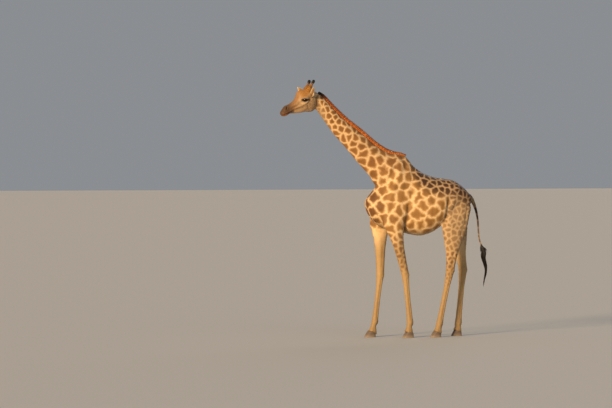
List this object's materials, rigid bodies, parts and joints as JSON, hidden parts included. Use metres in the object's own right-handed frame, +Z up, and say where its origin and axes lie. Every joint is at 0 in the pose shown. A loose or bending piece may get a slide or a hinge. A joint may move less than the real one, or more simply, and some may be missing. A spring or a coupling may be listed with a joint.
{
  "type": "giraffe",
  "caption": "Standing adult giraffe as a still, life-size model: long sloping neck, short horns, cloven hooves and a tufted tail.",
  "frame": {"origin": "on the ground under the middle of the model's bounding box", "axes": "+Z up; the animal faces -X and its left side is towards -Y"},
  "size_m": [3.2006, 0.6544, 3.7373],
  "materials": {
    "hide": "short flat coat, cream with tan patches",
    "mane_hair": "stiff upright hair, rusty brown",
    "black_hair": "long coarse black hair",
    "horn_skin": "haired skin over bone, black hair at the tip",
    "eye": "wet, very dark brown",
    "hoof_horn": "dull dark horn"
  },
  "bodies": {
    "root": {"head": "hide", "neck": "hide", "trunk": "hide", "foreleg_left": "hide", "foreleg_right": "hide", "hindleg_left": "hide", "hindleg_right": "hide", "mane": "mane_hair", "tail": "hide", "tail_tuft": "black_hair", "eye_left": "eye", "ear_left": "hide", "horn_left": "horn_skin", "eye_right": "eye", "ear_right": "hide", "horn_right": "horn_skin", "forehoof_left_outer": "hoof_horn", "forehoof_left_inner": "hoof_horn", "forehoof_right_outer": "hoof_horn", "forehoof_right_inner": "hoof_horn", "hindhoof_left_outer": "hoof_horn", "hindhoof_left_inner": "hoof_horn", "hindhoof_right_outer": "hoof_horn", "hindhoof_right_inner": "hoof_horn"}
  },
  "joints": []
}
